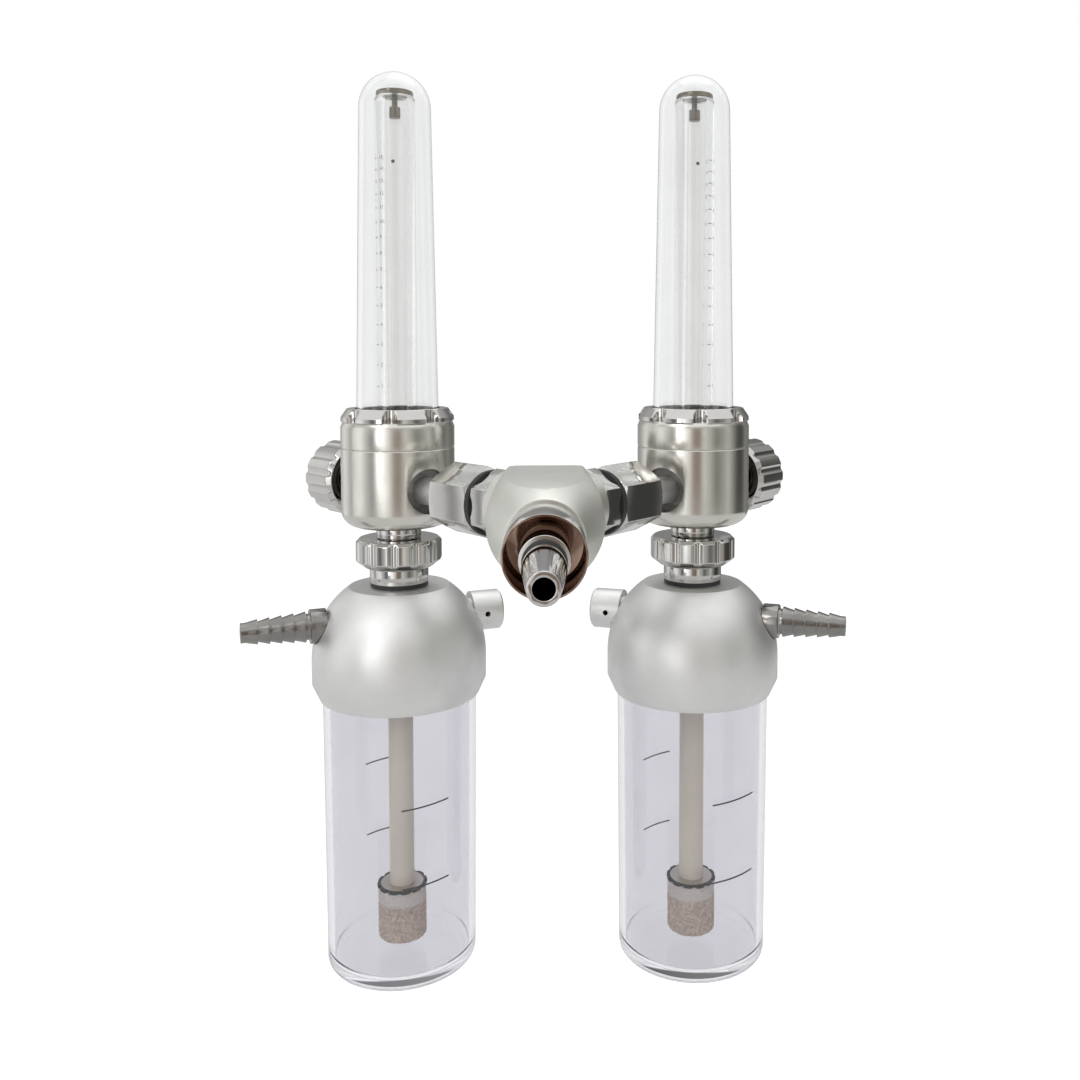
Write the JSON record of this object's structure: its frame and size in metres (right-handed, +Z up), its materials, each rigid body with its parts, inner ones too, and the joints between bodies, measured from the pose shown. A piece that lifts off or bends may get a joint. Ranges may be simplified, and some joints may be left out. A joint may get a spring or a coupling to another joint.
{
  "type": "oxygen flowmeter",
  "caption": "Twin flowmeter with domed clear covers, side knobs, humidifier bottles under domed caps, ridged hose barbs and a forward plug-in probe.",
  "frame": {"origin": "on the probe axis, in the middle of the round land behind the nose", "axes": "-Y out along the probe, +X to the right unit seen from the probe side, +Z up along the flow tubes"},
  "size_m": [0.215, 0.211, 0.3236],
  "materials": {
    "satin_aluminium": "satin",
    "satin_chrome": "satin",
    "bright_chrome": "polished",
    "brass": "plain",
    "steel": "plain",
    "clear_plastic": "clear",
    "tube_plastic": "clear",
    "bottle_plastic": "clear",
    "ivory_plastic": "plain",
    "sintered": "matt",
    "black_rubber": "matt"
  },
  "bodies": {
    "root": {"manifold_block": "satin_aluminium", "probe_collar": "bright_chrome", "probe_nozzle": "bright_chrome", "probe_o_ring": "black_rubber", "left_outer_cover": "clear_plastic", "left_flow_tube": "tube_plastic", "left_float_stop": "brass", "left_tube_disc": "brass", "left_cover_ring": "bright_chrome", "left_valve_body": "satin_chrome", "left_valve_bonnet": "bright_chrome", "left_inlet_stub": "bright_chrome", "left_union_nut": "bright_chrome", "left_block_adaptor": "bright_chrome", "left_outlet_spigot": "bright_chrome", "left_inlet_stem": "bright_chrome", "left_bottle_cap": "satin_aluminium", "left_bubbler_tube": "ivory_plastic", "left_diffuser": "sintered", "left_hose_barb": "bright_chrome", "left_relief_cap": "bright_chrome", "left_relief_spring": "steel", "right_outer_cover": "clear_plastic", "right_flow_tube": "tube_plastic", "right_float_stop": "brass", "right_tube_disc": "brass", "right_cover_ring": "bright_chrome", "right_valve_body": "satin_chrome", "right_valve_bonnet": "bright_chrome", "right_inlet_stub": "bright_chrome", "right_union_nut": "bright_chrome", "right_block_adaptor": "bright_chrome", "right_outlet_spigot": "bright_chrome", "right_inlet_stem": "bright_chrome", "right_bottle_cap": "satin_aluminium", "right_bubbler_tube": "ivory_plastic", "right_diffuser": "sintered", "right_hose_barb": "bright_chrome", "right_relief_cap": "bright_chrome", "right_relief_spring": "steel", "cover_seals": "black_rubber", "tube_seals": "black_rubber", "union_seals": "black_rubber", "stem_seals": "black_rubber", "cap_gaskets": "black_rubber", "diffuser_clips": "steel"},
    "left_knob_body": {"left_control_knob": "bright_chrome", "left_knob_screw": "steel", "left_needle_spindle": "brass"},
    "left_float": {"left_float_ball": "steel"},
    "left_coupling": {"left_coupling_nut": "bright_chrome"},
    "left_bottle_body": {"left_bottle": "bottle_plastic"},
    "left_relief": {"left_relief_poppet": "brass"},
    "right_knob_body": {"right_control_knob": "bright_chrome", "right_knob_screw": "steel", "right_needle_spindle": "brass"},
    "right_float": {"right_float_ball": "steel"},
    "right_coupling": {"right_coupling_nut": "bright_chrome"},
    "right_bottle_body": {"right_bottle": "bottle_plastic"},
    "right_relief": {"right_relief_poppet": "brass"}
  },
  "joints": [
    {"name": "left_knob_turn", "type": "hinge", "parent": "root", "child": "left_knob_body", "pos_m": [-0.07732, 0.17408, 0], "axis": [-0.639, 0.7692, 0], "range_deg": [0, 540]},
    {"name": "left_float_rise", "type": "slide", "parent": "root", "child": "left_float", "axis": [0, 0, 1], "range_m": [0, 0.1048]},
    {"name": "left_coupling_turn", "type": "hinge", "parent": "root", "child": "left_coupling", "pos_m": [-0.054, 0.146, -0.024], "axis": [0, 0, 1], "continuous": true},
    {"name": "left_bottle_drop", "type": "slide", "parent": "root", "child": "left_bottle_body", "axis": [0, 0, -1], "range_m": [0, 0.115]},
    {"name": "left_relief_lift", "type": "slide", "parent": "root", "child": "left_relief", "axis": [0.9397, 0.342, 0], "range_m": [0, 0.0015], "stiffness_N_per_m": 300, "springref_m": -0.0008, "deforming": ["left_relief_spring"]},
    {"name": "right_knob_turn", "type": "hinge", "parent": "root", "child": "right_knob_body", "pos_m": [0.07732, 0.17408, 0], "axis": [0.639, 0.7692, 0], "range_deg": [0, 540]},
    {"name": "right_float_rise", "type": "slide", "parent": "root", "child": "right_float", "axis": [0, 0, 1], "range_m": [0, 0.1048]},
    {"name": "right_coupling_turn", "type": "hinge", "parent": "root", "child": "right_coupling", "pos_m": [0.054, 0.146, -0.024], "axis": [0, 0, 1], "continuous": true},
    {"name": "right_bottle_drop", "type": "slide", "parent": "root", "child": "right_bottle_body", "axis": [0, 0, -1], "range_m": [0, 0.115]},
    {"name": "right_relief_lift", "type": "slide", "parent": "root", "child": "right_relief", "axis": [-0.9397, 0.342, 0], "range_m": [0, 0.0015], "stiffness_N_per_m": 300, "springref_m": -0.0008, "deforming": ["right_relief_spring"]}
  ]
}
